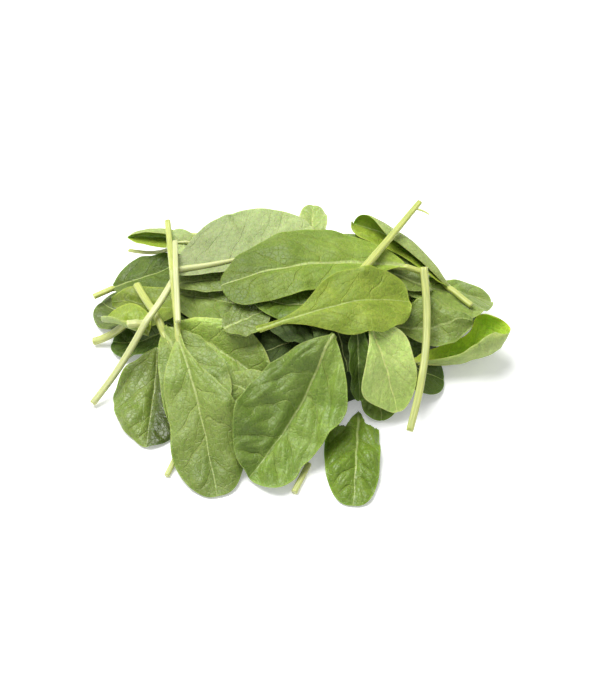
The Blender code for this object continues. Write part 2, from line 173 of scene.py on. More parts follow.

# A leaf's tone share, its change along the blade and the shares of its halves are partly painted light and
# shade.
# From the lowest to the topmost.
HEAP = (
    Leaf("back_leaves", "back_slope_1", (-43, 36), (-53, 54), 20),
    Leaf("back_leaves", "back_slope_2", (-18, 32), (-28, 58), 24, DEEP),
    Leaf("back_leaves", "back_slope_3", (4, 34), (0, 60), 24),
    Leaf("back_leaves", "back_slope_4", (22, 30), (29, 55), 24, DEEP),
    Leaf("back_leaves", "back_slope_5", (36, 22), (51, 41), 22),
    Leaf("back_leaves", "back_slope_6", (38, 16), (67, 27), 20, DEEP),
    Leaf("back_leaves", "back_low_1", (-26, 38), (-47, 48), 20, bend=(1, 2, 1), left=(6, -20)),
    Leaf("back_leaves", "back_low_2", (9, 42), (-18, 47), 21, DEEP, stalk=(20, 44), bend=(-1, -2, -1),
         right=(5, -25)),
    Leaf("back_leaves", "back_low_3", (16, 45), (39, 40), 19, stalk=(6, 49), left=(5, -25)),
    Leaf("back_leaves", "back_low_4", (42, 17), (57, 36), 18, bend=(-1, -1, 0)),
    Leaf("back_leaves", "back_low_5", (-30, 33), (-34, 53), 19, left=(5, 30), right=(5, -20)),
    Leaf("back_leaves", "back_low_6", (27, 33), (44, 47), 17, DEEP, left=(8, 40), right=(5, -10)),
    Leaf("floor_leaves", "floor_right", (25, -6), (54, -6.5), 21, SHADED, 0.85, taper=0.8, rounding=0.47,
         left=(2, 12), right=(2, 12), wave=0.1, quilt=0.3, buckle=0.1, cells=FINE),
    Leaf("floor_leaves", "floor_front", (40, -8), (8, -6), 15, SHADED, taper=0.7, wave=0.2, quilt=0.3,
         heights=(3, 3)),
    Leaf("floor_leaves", "floor_under", (29, -8), (31, -25), 14, DEEP, taper=0.8, wave=0.3,
         heights=(3, 0.8)),
    Leaf("floor_leaves", "floor_left", (-37, 6), (-67, 11.3), 18, SHADED, taper=0.8),
    Leaf("left_leaves", "far_left", (-53, 15.5), (-72.6, 30.8), 21.5, FRESH, 0.58, taper=0.6, wave=0.3,
         right_form=(1, 1, 1.05, 1.15, 1.1), quilt=0.4),
    Leaf("left_leaves", "left_back", (-68, 34), (-36, 39), 22, DEEP, 0.66, stalk=(-75, 30), rib=0.6,
         taper=0.6, bend=(-0.7, -1, -0.7), left_form=(0.8, 1.03, 0.69, 0.6, 0.6), heights=(6, 14),
         stalk_height=5),
    Stem("thin_back", (-44, 41.5), (-63, 50.8), heights=(14, 8), radius=0.8, end_radius=0.7),
    Leaf("left_leaves", "back_fold", (-38, 44.8), (-63.3, 52.8), 17, BRIGHT, left=(5, 30), right=(60, 185),
         taper=0.5, rounding=0.9, heights=(18, 13), wave=0.2, quilt=0.1, buckle=0.1, cells=FINE),
    Leaf("left_leaves", "back_grey", (-33, 40), (-47, 39.5), 11, PALE, 1.2, left=(4, 30), right=(4, 20),
         heights=(19, 17), wave=0.1, quilt=0.1, buckle=0.15, under=True),
    Stem("back_thin", (-40, 50), (-24, 46), heights=(18, 20), radius=0.6, end_radius=0.6),
    Leaf("right_leaves", "right_cup", (43, -6), (77.9, 7.2), 27, BRIGHT, 1.5, taper=0.7, rounding=0.17,
         left_form=(0.8, 0.75, 0.74, 0.78, 1.1), right_form=(0.6, 0.8, 1.1, 1.3, 1.5), left=(5, 85),
         right=(24, 118), half_painted_shade=(1.3, 0.8), curl=12, wave=0.2, heights=(3, 14), arch=0, quilt=0.3,
         cells=FINE),
    Leaf("right_leaves", "right_back", (36, 19), (73, 25.2), 19, FRESH, 1.12, taper=0.8, rounding=0.35,
         left_form=(1.4, 0.92, 0.58, 0.74, 0.58), right_form=(1, 1.2, 1.75, 1.45, 0.65), heights=(22, 7),
         wave=0.5),
    Leaf("right_leaves", "right_middle", (32, 4), (64, 6.5), 20, taper=0.7, left_form=(1, 1, 1, 0.5, 0.3),
         right_form=(0.8, 0.65, 0.72, 0.68, 0.35), rounding=0.4),
    # Painted shade: the inner leaves are darkened further for the hollow they lie in.
    Leaf("middle_leaves", "inner_1", (14, -1), (-11, -9), 22, SHADED, 0.55, taper=0.7, quilt=1.1, gloss=0),
    Leaf("middle_leaves", "inner_2", (-11, 3), (13, -4), 20, SHADED, 0.55, taper=0.7, quilt=1.1, gloss=0),
    Leaf("middle_leaves", "inner_3", (12, 6), (19, -15), 20, SHADED, 0.55, taper=0.7, quilt=1.1, gloss=0),
    Leaf("left_leaves", "left_wide", (-40, 13), (-68, 27), 22, BRIGHT, 0.75, taper=0.6,
         left_form=(1.5, 1.4, 0.87, 0.42, 0.1), right_form=(0.8, 0.8, 0.57, 0.5, 0.22), quilt=0.1, wave=0.2,
         rib=0.25, vein_pairs=1),
    Stem("left_stub", (-57, 12.2), (-74, 10.9), heights=(6, 1.6), radius=1.4, end_radius=1.45),
    Leaf("left_leaves", "left_curl", (-52, 3.5), (-69.5, 15.5), 15, BRIGHT, taper=0.6, left=(15, 110),
         right=(5, 40), heights=(12, 8), wave=0.1, quilt=0.1, buckle=0.1, rib=0.4),
    Stem("left_short", (-52.5, 5), (-59.5, 4), heights=(14, 11), radius=1.4, end_radius=1.5, pale=0.6),
    Leaf("middle_leaves", "middle_broad", (-45, 22), (-9, 5), 26, FRESH, 0.9, taper=0.7),
    Leaf("front_leaves", "front_glossy", (-49, 0), (-51.8, -36.8), 29, FRESH, 0.92, taper=0.75, rib=0.4,
         half_painted_shade=(0.42, 1), left=(10, -60), right=(30, -35), right_form=(1.5, 1.36, 1.07, 0.83, 0.5),
         quilt=0.5, buckle=0.5, gloss=0.7, cells=FINE),
    Leaf("middle_leaves", "middle_round", (-43, 4), (-7, -20), 28, FRESH, 1.4, tip_tone_and_shade=-0.75, taper=0.7,
         left_form=(0.6, 0.52, 0.64, 0.62, 0.15), gloss=0.6, cells=FINE),
    Leaf("middle_leaves", "middle_small", (-3, -28), (-24, -20), 20, taper=0.8,
         right_form=(0.6, 0.6, 0.68, 0.76, 0.65)),
    Stem("under_left", (-40, -38), (-44, -49), radius=1, end_radius=1),
    Leaf("front_leaves", "front_under", (-47, 3), (-29, -36), 27, stalk=(-58, 27), taper=0.8,
         right_form=(0.8, 0.7, 0.78, 0.9, 1), stalk_radius=1.4, cells=FINE),
    Leaf("middle_leaves", "dark_fold", (22, 0), (23, -22), 11, SHADED, 0.95, taper=0.8, left=(30, 60),
         right=(30, 60), quilt=0.2, rib=0.3),
    Leaf("middle_leaves", "centre_grey", (-25, -4), (-9, 3), 15, FRESH, 0.8, taper=0.6, quilt=0.2),
    Leaf("middle_leaves", "centre_dark", (17, 5), (-14, 6), 17, DEEP, 0.9, taper=0.6),
    Stem("under_big", (5, -44), (0, -56), radius=1.1, end_radius=1.1),
    Leaf("front_right_leaves", "front_right", (26, -2), (36.5, -24.6), 21, PALE, 1.5, taper=0.65,
         rounding=0.4, left_form=(1.6, 1.4, 1.08, 1, 0.7), right_form=(0.3, 0.4, 0.69, 1.18, 0.5),
         heights=(26, 5), wave=0.3, quilt=0.35, rib=1.2, gloss=0.2, cells=FINE),
    Leaf("crown_leaves", "back_round", (6, 32), (7, 58), 11, PALE, taper=0.7, heights=(24.5, 25)),
    Leaf("crown_leaves", "back_lobe", (-44, 22), (-18, 21), 13, FRESH, 0.8, taper=0.6, heights=(21, 23),
         wave=0.3, quilt=0.3),
    Leaf("crown_leaves", "back_broad", (-43, 23), (6, 44), 35, PALE, 0.78, tip_tone_and_shade=0.8, taper=0.35,
         bend=(-3.5, -5, -3), left_form=(0.6, 1.07, 1.15, 1.27, 1.1), right_form=(0.3, 0.25, 0.3, 1, 1),
         heights=(26.6, 25.8), under=True, wave=0.3, quilt=0.2, cells=FINE),
    Leaf("crown_leaves", "back_edge", (50, 19), (8, 35), 20, FRESH, 0.8, taper=0.7, heights=(20, 26.5)),
    Leaf("crown_leaves", "right_fold", (56, 22.5), (21.8, 47.9), 26, BRIGHT, stalk=(64, 14), taper=0.75,
         bend=(-2.3, -3.2, -2.3), left_form=(1, 0.7, 0.65, 0.85, 1.1), left=(5, 30), right=(60, 190),
         opening=0.6, heights=(17, 24), stalk_height=14, wave=0.2, quilt=0.15, buckle=0.15, cells=FINE),
    Leaf("top_leaves", "crown", (40, 23.6), (-26, 12), 33, CROWN_GREEN, 0.8, tip_tone_and_shade=-0.75, stalk=(47, 22),
         taper=0.6, rounding=0.4, bend=(-2, -3, -2), left_form=(0.15, 0.72, 0.72, 0.83, 1.15),
         right_form=(0.85, 1.03, 1.06, 0.89, 0.62), heights=(29.3, 31), curl=-3, left=(6, -14),
         right=(6, -8), half_painted_shade=(1, 0.88), stalk_height=27, wave=0.3, quilt=0.5, rib=1.7, gloss=0.35,
         cells=FINE),
    Stem("kinked", (46.5, 22), (40.3, -33), heights=(28, 4.5), radius=1.45, end_radius=1.3, bend=3.1,
         pale=0.3),
    Stem("long_left", (-42, 20.3), (-72, -18), heights=(28, 1.6), radius=1.25, end_radius=1.25, bend=1.8,
         pale=0.8),
    Leaf("front_leaves", "front_left", (-41, -4), (-26.2, -57.6), 26, tip_tone_and_shade=-0.4, stalk=(-47, 48),
         rounding=0.36, bend=(0.7, 1, 0.7), left_form=(0.15, 0.58, 0.97, 0.97, 0.8),
         right_form=(1.6, 1.3, 0.97, 0.98, 0.7), stalk_height=27, left=(8, -16), right=(8, -16), rib=0.85,
         cells=FINE),
    Leaf("front_leaves", "front_big", (14, -8), (-15.5, -50.8), 33, GLOSSY_GREEN, 1.15, taper=0.8, rib=0.8,
         rounding=0.45, bend=(0.7, 1, 0.7), left_form=(1, 1.32, 1.02, 0.83, 1.25),
         right_form=(0.6, 1.04, 1.05, 0.97, 0.86), half_painted_shade=(1.2, 0.92), left=(10, 15), right=(14, 2),
         quilt=1.5, buckle=0.8, cells=FINE),
    Stem("lone_left", (-43.5, 35), (-40.9, -0.9), radius=0.95, end_radius=1.05, pale=0.8),
    Stem("split", (24, 17), (45.9, 48.6), heights=(33, 36.4), radius=1.55, end_radius=1.05, pale=0.1),
    Stem("split_branch", (43.7, 45.4), (49, 43), heights=(36.1, 35.6), radius=0.45, end_radius=0.3,
         bend=0.5, pale=0.2, grows=True),
    Leaf("top_leaves", "top_bright", (-13, -10), (41.3, 11), 31, BRIGHT, 0.86, tip_tone_and_shade=0.1, taper=1.5,
         rounding=0.25, bend=(0.7, 1, 0.7), left_form=(0.5, 0.61, 1.13, 0.78, 0.62),
         right_form=(0.4, 0.76, 1.25, 1.06, 0.58), roll=8, left=(4, 12), right=(-5, -40), wave=0.3,
         quilt=0.3, rib=0.8, gloss=0.25, cells=FINE),
)


# --- Shapes ---


def unit(vector):
    """The vector over its own length."""
    return vector / np.maximum(np.linalg.norm(vector, axis=-1, keepdims=True), 1e-9)


def seed_of(name):
    """A fixed number for a name, so that each leaf buckles in its own way."""
    return sum((place + 3) * ord(letter) for place, letter in enumerate(name)) % 9973


def smooth_step(value):
    """Three times the square less twice the cube, between 0 and 1."""
    value = np.clip(value, 0, 1)
    return value * value * (3 - 2 * value)


def through(values, share):
    """A cubic through values at even steps of share, each with the slope between its neighbours."""
    values = np.array([2 * values[0] - values[1], *values, 2 * values[-1] - values[-2]], float)
    place = np.clip(share, 0, 1) * (len(values) - 3)
    step = np.minimum(place.astype(int), len(values) - 4)
    past = place - step
    before, first, second, after = (values[step + ahead] for ahead in range(4))
    cubic = 3 * (first - second) + after - before
    square = 2 * before - 5 * first + 4 * second - after
    return first + past / 2 * (second - before + past * (square + past * cubic))


def bent_line(start, end, bend, share):
    """Points and directions in plan from start to end, set off to the left by a curve through bend."""
    start, end = np.array(start, float), np.array(end, float)
    run = end - start
    to_left = np.array([-run[1], run[0]]) / np.hypot(*run)
    share = np.asarray(share, float)
    off = through((0, *bend, 0), share)
    turn = (through((0, *bend, 0), share + 0.01) - through((0, *bend, 0), share - 0.01)) / 0.02
    points = start + share[..., None] * run + off[..., None] * to_left
    return points, unit(run + turn[..., None] * to_left)


def half_width(leaf, along, is_left=True):
    """Along to the power taper, times what is left of it to the power rounding, scaled to the width."""
    along = np.clip(along, 0, 1)
    widest = leaf.taper / (leaf.taper + leaf.rounding)
    peak = widest**leaf.taper * (1 - widest) ** leaf.rounding
    share = along**leaf.taper * (1 - along) ** leaf.rounding / peak
    form = np.where(is_left, through(leaf.left_form, along), through(leaf.right_form, along))
    return np.maximum(leaf.width / 2 * share * form, leaf.stalk_radius * (along < 0.5))


def half_section(share, slopes, turned):
    """How far sideways and up a half blade of width 1 has come, as its slope turns evenly, and its slope."""
    first = math.radians(slopes[0])
    turn = (math.radians(slopes[1]) - first) * turned
    slope = first + turn * share
    return (np.sin(slope) - math.sin(first)) / turn, (math.cos(first) - np.cos(slope)) / turn, slope


def between(grid, along, across):
    """The grid's value at along 0..1 and across -1..1, linear between its points."""
    rows, columns = grid.shape
    row = np.clip(along, 0, 1) * (rows - 1)
    column = (np.clip(across, -1, 1) + 1) / 2 * (columns - 1)
    i = np.minimum(row.astype(int), rows - 2)
    j = np.minimum(column.astype(int), columns - 2)
    row, column = row - i, column - j
    near = (1 - column) * grid[i, j] + column * grid[i, j + 1]
    far = (1 - column) * grid[i + 1, j] + column * grid[i + 1, j + 1]
    return (1 - row) * near + row * far


def vein_phase(leaf, along, across, half):
    """Counts the side veins: along the blade, less what each sweeps forward on its way out."""
    out = abs(across) * half
    seed = seed_of(leaf.name)
    sweep = (0.7 * out + 0.025 * out**2) / math.dist(leaf.base, leaf.tip)
    foot = along - sweep
    uneven = 0.035 * np.sin(11 * foot + seed) + 0.02 * np.sin(19 * foot + 2 * (across > 0) + 0.7 * seed)
    wander = 0.012 * np.sin(out / 1.9 + seed) + 0.008 * np.sin(out / 0.9 + 23 * foot)
    stagger = 0.45 * smooth_step(out / 0.8) * (across > 0)
    return leaf.vein_pairs * (foot + 0.25 * foot**2 + uneven * smooth_step(out / 3) + wander) + stagger


def cross_phase(leaf, along, across, half):
    """Counts the links between side veins: outwards, zigzagging from one side vein to the next."""
    out = abs(across) * half
    phase = vein_phase(leaf, along, across, half)
    return out / 5.5 + 0.35 * np.sin(2 * np.pi * phase) + 0.37 * np.floor(phase) + 0.2 * (across > 0)


def relief(leaf, along, across, half):
    """Height over the plain blade: bulges between veins, a groove along the midrib, dents, waves."""
    away = abs(across)
    out = away * half
    ends = smooth_step(along / 0.15) * smooth_step((1 - along) / 0.12)
    between_veins = abs(np.sin(np.pi * vein_phase(leaf, along, across, half))) ** 0.7
    between_links = abs(np.sin(np.pi * cross_phase(leaf, along, across, half))) ** 0.8
    bulge = between_veins * (0.6 + 0.4 * between_links)
    bulge = bulge * smooth_step(out / 2.5) * smooth_step((1 - away) / 0.35) * ends
    groove = np.exp(-((out / 0.9) ** 2)) * smooth_step((1 - along) / 0.4)
    seed = seed_of(leaf.name)
    run = along * math.dist(leaf.base, leaf.tip)
    side = across * half
    dents = 0
    for turn, length, share in BUCKLES:
        way = turn + seed
        place = (run * math.cos(way) + side * math.sin(way)) / length
        dents = dents + share * np.sin(2 * np.pi * place + 1.7 * way)
    edge = 0.35 * leaf.wave * away**4 * np.sin(2 * np.pi * 4.3 * along + seed + 2 * (across > 0))
    return (
        leaf.quilt * bulge - 0.4 * groove + leaf.buckle * dents * smooth_step(out / 5) * ends + edge * ends
    )


def blade_points(leaf, rest, along, across):
    """The top face of the blade at along 0..1 from base to tip and across -1..1 from right to left."""
    along, across = np.broadcast_arrays(np.asarray(along, float), np.asarray(across, float))
    plan, heading = bent_line(leaf.base, leaf.tip, leaf.bend, along)
    length = math.dist(leaf.base, leaf.tip)
    climb = rest.tip - rest.base
    height = rest.base + climb * along + 4 * leaf.arch * along * (1 - along) + leaf.curl * along**6
    slope = (climb + 4 * leaf.arch * (1 - 2 * along) + 6 * leaf.curl * along**5) / length
    forward = unit(np.concatenate([heading, slope[..., None]], -1))
    left = unit(np.stack([-heading[..., 1], heading[..., 0], 0 * slope], -1))
    up = np.cross(forward, left)
    roll = math.radians(leaf.roll)
    left, up = left * math.cos(roll) + up * math.sin(roll), up * math.cos(roll) - left * math.sin(roll)
    is_left = across > 0
    half = half_width(leaf, along, is_left)
    turned = 1 - leaf.opening * smooth_step((along - 0.6) / 0.4)
    out_left, up_left, slope_left = half_section(abs(across), leaf.left, turned)
    out_right, up_right, slope_right = half_section(abs(across), leaf.right, turned)
    sideways = np.where(is_left, out_left, -out_right) * half
    turns = 2 * along + 0.25 * is_left
    ripple = leaf.wave * across**2 * np.sin(2 * np.pi * turns) * half / (leaf.width / 2)
    upwards = np.where(is_left, up_left, up_right) * half + ripple
    tilt = np.where(is_left, slope_left, -slope_right)
    low = relief(leaf, along, across, half)
    sideways = sideways - low * np.sin(tilt)
    upwards = upwards + low * np.cos(tilt)
    middle = np.concatenate([plan, height[..., None]], -1)
    points = middle + left * sideways[..., None] + up * upwards[..., None]
    points[..., 2] += between(rest.give, along, across)
    return points


def line_points(start, end, heights, share, bend=0.0):
    """Points along a run in plan whose middle lies bend to the left, at heights given at even steps."""
    plan, _ = bent_line(start, end, (0.75 * bend, bend, 0.75 * bend), share)
    level = np.interp(share, np.linspace(0, 1, len(heights)), heights)
    return np.concatenate([plan, level[..., None]], -1)


# --- Laying ---


def smoothed(values, axis):
    """Each value with a quarter of either neighbour."""
    steps = [(1, 1) if each == axis else (0, 0) for each in range(values.ndim)]
    padded = np.pad(values, steps, mode="edge")
    count = values.shape[axis]
    before, after = (np.take(padded, range(first, first + count), axis) for first in (0, 2))
    return before / 4 + values / 2 + after / 4


class Pile:
    """The height of all that is laid so far, on a map of the plan."""

    def __init__(self):
        self.x, self.y = (np.arange(-half, half + MAP_PITCH, MAP_PITCH) for half in MAP_HALF_SIZE)
        self.height = mound_height(*np.meshgrid(self.x, self.y, indexing="ij"))

    def at(self, points, field):
        """The field's value at each point's place in plan."""
        along = (points[..., 0] - self.x[0]) / (self.x[-1] - self.x[0])
        across = (points[..., 1] - self.y[0]) / (self.y[-1] - self.y[0]) * 2 - 1
        return between(field, along, across)

    def even(self):
        """The heights, smoothed four times in both directions."""
        field = self.height
        for _ in range(4):
            field = smoothed(smoothed(field, 0), 1)
        return field

    def highest(self):
        """The highest of each place and its four neighbours."""
        padded = np.pad(self.height, 1, mode="edge")
        beside = np.maximum(padded[:-2, 1:-1], padded[2:, 1:-1])
        return np.maximum(np.maximum(self.height, beside), np.maximum(padded[1:-1, :-2], padded[1:-1, 2:]))

    def add(self, points):
        """Raises the map to the points that lie above it."""
        i = np.rint((points[..., 0] - self.x[0]) / MAP_PITCH).astype(int)
        j = np.rint((points[..., 1] - self.y[0]) / MAP_PITCH).astype(int)
        np.maximum.at(self.height, (i, j), points[..., 2])

    def under_tube(self, points, radius):
        """How high the middle of a tube along these points must lie to clear what is under it."""
        levels = [self.at(points + side, self.height) + rise for side, rise in tube_lines(points, radius)]
        return np.max(levels, axis=0) + CLEARANCE / 2

    def add_tube(self, points, radius):
        """Raises the map to the top of a tube along these points."""
        for side, rise in tube_lines(points, radius):
            self.add(points + side + np.array([0, 0, rise]))


def tube_lines(points, radius):
    """Three lines along a tube, as how far beside its middle they lie and how far above or below it."""
    run = np.gradient(points[:, :2], axis=0)
    aside = unit(np.stack([-run[:, 1], run[:, 0], 0 * run[:, 0]], -1)) * radius
    return [(share * aside, rise * radius) for share, rise in ((-0.8, 0.6), (0, 1), (0.8, 0.6))]


def mound_height(x, y):
    """What is left of 1 after the squared reach, to the power steepness, less a rounded bay in front."""
    bay = ((x - BAY_CENTRE[0]) / BAY_SIZE[0]) ** 2 + ((y - BAY_CENTRE[1]) / BAY_SIZE[1]) ** 2
    reach = ((x - MOUND_CENTRE[0]) / MOUND_HALF_SIZE[0]) ** 2
    reach = reach + ((y - MOUND_CENTRE[1]) / MOUND_HALF_SIZE[1]) ** 2
    return MOUND_HEIGHT * np.clip(1 - reach, 0, 1) ** MOUND_STEEPNESS * (1 - np.exp(-(bay**2)))


def mound_place(reach, turn):
    """The point in plan at a share of the mound's half size, in one direction."""
    x = MOUND_CENTRE[0] + MOUND_HALF_SIZE[0] * reach * np.cos(turn)
    return x, MOUND_CENTRE[1] + MOUND_HALF_SIZE[1] * reach * np.sin(turn)


def raised_over(short, rounds):
    """The least rise that makes good what is short, spread smoothly around each obstacle."""
    give = np.maximum(short, 0)
    for _ in range(rounds):
        for axis in range(short.ndim):
            give = smoothed(give, axis)
        give = np.maximum(give, short)
    return give


def blade_grid(rows, columns):
    """Shares from base to tip, one in each row, and from right to left edge, one in each column."""
    return np.linspace(0, 1, rows)[:, None], np.linspace(-1, 1, columns)[None, :]

def lay_leaf(leaf, pile):
    """Lays the leaf at the tilt that suits the pile, then lets it give way over what still stands out."""
    along, across = blade_grid(LAY_ALONG, LAY_ACROSS)
    flat = np.zeros((LAY_ALONG, LAY_ACROSS))
    rest = Rest(0, 0, flat)
    if leaf.heights:
        rest = Rest(leaf.heights[0], leaf.heights[1] - leaf.curl, flat)
    else:
        weight = (half_width(leaf, along) / leaf.width + 0.1 + flat).ravel()
        terms = np.stack([weight, weight * (along + flat).ravel()], -1)
        steepest = math.dist(leaf.base, leaf.tip) * math.tan(STEEPEST_LEAF)
        even = pile.even()
        for _ in range(3):
            points = blade_points(leaf, rest, along, across)
            own = points[..., 2] - rest.base - (rest.tip - rest.base) * along
            wanted = pile.at(points, even) + CLEARANCE + BLADE_THICKNESS - own
            base, climb = np.linalg.lstsq(terms, wanted.ravel() * weight, rcond=None)[0]
            rest = Rest(base, base + np.clip(climb, -steepest, steepest), flat)
    points = blade_points(leaf, rest, along, across)
    short = pile.at(points, pile.highest()) + CLEARANCE + BLADE_THICKNESS - points[..., 2]
    rest = rest._replace(give=raised_over(short, LAY_SPREAD))
    if leaf.stalk:
        rest = rest._replace(stalk=lay_stalk(leaf, rest, pile))
    pile.add(blade_points(leaf, rest, *blade_grid(*MAP_POINTS)))
    if leaf.stalk:
        share = np.linspace(0, 1, MAP_POINTS[0])
        pile.add_tube(line_points(leaf.base, leaf.stalk, rest.stalk, share), leaf.stalk_radius)
    return rest


def lay_stalk(leaf, rest, pile):
    """Heights from the base to the cut end: a straight run, raised where something is in its way."""
    share = np.linspace(0, 1, LAY_ALONG)
    plan = line_points(leaf.base, leaf.stalk, 0 * share, share)
    floor = pile.under_tube(plan, leaf.stalk_radius)
    start = blade_points(leaf, rest, np.zeros(1), np.zeros(1))[0, 2] - BLADE_THICKNESS / 2
    end = floor[-1] if leaf.stalk_height is None else leaf.stalk_height
    run = start + (end - start) * share
    short = floor - run
    short[0] = 0
    return run + raised_over(short, LAY_SPREAD) * np.minimum(1, share * 6)


def lay_stem(stem, pile):
    """Heights of a lone stalk: the straight run between its ends, raised where something is in its way."""
    share = np.linspace(0, 1, LAY_ALONG)
    plan = line_points(stem.start, stem.end, 0 * share, share, stem.bend)
    floor = pile.under_tube(plan, stem.radius)
    first, last = stem.heights or (floor[0], floor[-1])
    run = first + (last - first) * share
    heights = run if stem.grows else run + raised_over(floor - run, 2 * LAY_SPREAD)
    share = np.linspace(0, 1, MAP_POINTS[0])
    pile.add_tube(line_points(stem.start, stem.end, heights, share, stem.bend), stem.radius)
    return heights


@lru_cache(maxsize=None)
def laid_heap():
    """How each leaf and lone stalk lies, by name."""
    pile = Pile()
    return {
        piece.name: lay_stem(piece, pile) if isinstance(piece, Stem) else lay_leaf(piece, pile)
        for piece in HEAP
    }


# --- Meshes ---


def grid_normals(points):
    """The way up at each point of a grid: the cross product of its two directions."""
    return unit(np.cross(np.gradient(points, axis=0), np.gradient(points, axis=1)))


def grid_faces(rows, columns):
    """Quads over a grid of points numbered row by row."""
    start = (np.arange(rows - 1)[:, None] * columns + np.arange(columns - 1)).reshape(-1, 1)
    return start + np.array([0, columns, columns + 1, 1])


def shell(top, bottom):
    """A closed skin around two grids of the same size: both faces and the rim between them."""
    rows, columns = top.shape[:2]
    count = rows * columns
    upper = grid_faces(rows, columns)
    lower = upper[:, ::-1] + count
    index = np.arange(count).reshape(rows, columns)
    ring = np.concatenate([index[:-1, 0], index[-1, :-1], index[:0:-1, -1], index[0, :0:-1]])
    after = np.roll(ring, -1)
    rim = np.stack([ring, ring + count, after + count, after], -1)
    points = np.concatenate([top.reshape(-1, 3), bottom.reshape(-1, 3)])
    return points, np.concatenate([upper, lower, rim])


def tear(across):
    """Where the torn end runs, as a share of the length: a spire at the midrib between jagged shoulders."""
    away = abs(across)
    flank = 0.2 * smooth_step(away / 0.42) + 0.06 * np.maximum(-across, 0)
    jags = 0.012 * abs(np.sin(21 * across + 0.6)) + 0.008 * abs(np.sin(47 * across))
    return flank + jags


def blade_mesh(leaf, rest, thickness, start=np.zeros_like):
    """The blade as a closed thin solid from its start line, with what its material reads at each point."""
    share = np.linspace(0, 1, leaf.cells[0] + 1)[:, None]
    along = 0.9985 * (1 - (1 - share) ** 1.35)
    across = np.sin(np.linspace(-1, 1, leaf.cells[1] + 1) * np.pi / 2)[None, :]
    across = 0.35 * across + 0.65 * np.linspace(-1, 1, leaf.cells[1] + 1)[None, :]
    along, across = np.broadcast_arrays(along, across)
    along = start(across) + (1 - start(across)) * along
    half = half_width(leaf, along, across > 0)
    top = blade_points(leaf, rest, along, across)
    edge = smooth_step((1 - abs(across)) * half / 1.2) * smooth_step((1 - along) * 20)
    depth = thickness * (0.35 + 0.65 * edge)
    bottom = top - grid_normals(top) * depth[..., None]
    points, faces = shell(top, bottom)
    points[:, 2] = np.maximum(points[:, 2], 0.05)
    to_edge = np.minimum((1 - abs(across)) * half, (1 - along) * math.dist(leaf.base, leaf.tip))
    phase = vein_phase(leaf, along, across, half)
    place = np.stack([phase, abs(across) * half, to_edge], -1).reshape(-1, 3)
    links = cross_phase(leaf, along, across, half)
    run = np.stack([along, across * half / leaf.rib, links], -1).reshape(-1, 3)
    # Painted light and shade: the leaf's tone share, changed along the blade and set for each half.
    shade = leaf.shade * (1 + leaf.tip_tone_and_shade * (along - 0.5))
    to_left = smooth_step(0.5 + 2.5 * across)
    shade = shade * (leaf.half_painted_shade[0] * to_left + leaf.half_painted_shade[1] * (1 - to_left))
    tone = np.concatenate([shade[..., None] * leaf.tone, np.full((*along.shape, 1), leaf.gloss)], -1)
    tone = tone.reshape(-1, 4)
    sides = np.zeros((2, top[..., 0].size))
    sides[0 if leaf.under else 1] = 1
    return points, faces, NO_TRIANGLES, {
        "tone": np.concatenate([tone, tone]),
        "veins": np.concatenate([place, place]),
        "run": np.concatenate([run, run]),
        "underside": sides.ravel(),
    }


def ring_faces(rows, columns):
    """Quads between rings of points numbered ring by ring, and a fan to a middle point at each end."""
    around = np.arange(columns)
    after = (around + 1) % columns
    rings = np.arange(rows - 1)[:, None] * columns
    start, beside = (rings + around).reshape(-1, 1), (rings + after).reshape(-1, 1)
    quads = np.concatenate([start, start + columns, beside + columns, beside], -1)
    last, middle = (rows - 1) * columns, 0 * around + rows * columns
    fans = [np.stack([around, after, middle], -1), np.stack([after + last, around + last, middle + 1], -1)]
    return quads, np.concatenate(fans)


VALUE_KINDS = {1: ("FLOAT", "value"), 3: ("FLOAT_VECTOR", "vector"), 4: ("FLOAT_COLOR", "color")}

def add_mesh(name, points, quads, triangles, values):
    """Puts arrays into a new mesh object: points in millimetres, quads, triangles and point values."""
    mesh = bpy.data.meshes.new(name)
    loops = np.concatenate([quads.ravel(), triangles.ravel()]).astype(np.int32)
    sizes = np.concatenate([np.full(len(quads), 4), np.full(len(triangles), 3)])
    mesh.vertices.add(len(points))
    mesh.vertices.foreach_set("co", (points * MM).astype(np.float32).ravel())
    mesh.loops.add(len(loops))
    mesh.loops.foreach_set("vertex_index", loops)
    mesh.polygons.add(len(sizes))
    mesh.polygons.foreach_set("loop_start", np.concatenate([[0], np.cumsum(sizes)[:-1]]).astype(np.int32))
    mesh.update(calc_edges=True)
    for key, each in values.items():
        kind, field = VALUE_KINDS[each.size // len(each)]
        data = mesh.attributes.new(key, kind, "POINT").data
        data.foreach_set(field, each.astype(np.float32).ravel())
    mesh.validate()
    mesh.shade_smooth()
    thing = bpy.data.objects.new(name, mesh)
    bpy.context.scene.collection.objects.link(thing)
    return thing


def joined(parts):
    """Several (points, quads, triangles, values) as one."""
    points, quads, triangles, values = zip(*parts)
    starts = np.cumsum([0, *map(len, points)])[:-1]
    quads, triangles = (
        np.concatenate([each + start for each, start in zip(faces, starts)]) for faces in (quads, triangles)
    )
    values = {key: np.concatenate([each[key] for each in values]) for key in values[0]}
    return np.concatenate(points), quads, triangles, values


NO_TRIANGLES = np.zeros((0, 3), int)


def leaf_group(name, thickness):
    """All blades of one group as one piece."""
    rests = laid_heap()
    leaves = [leaf for leaf in HEAP if isinstance(leaf, Leaf) and leaf.group == name]
    return add_mesh(name, *joined([blade_mesh(leaf, rests[leaf.name], thickness) for leaf in leaves]))


def smoothed_path(path, rounds):
    """The path with all but its ends smoothed, round by round."""
    for _ in range(rounds):
        path[1:-1] = smoothed(path, 0)[1:-1]
    return path

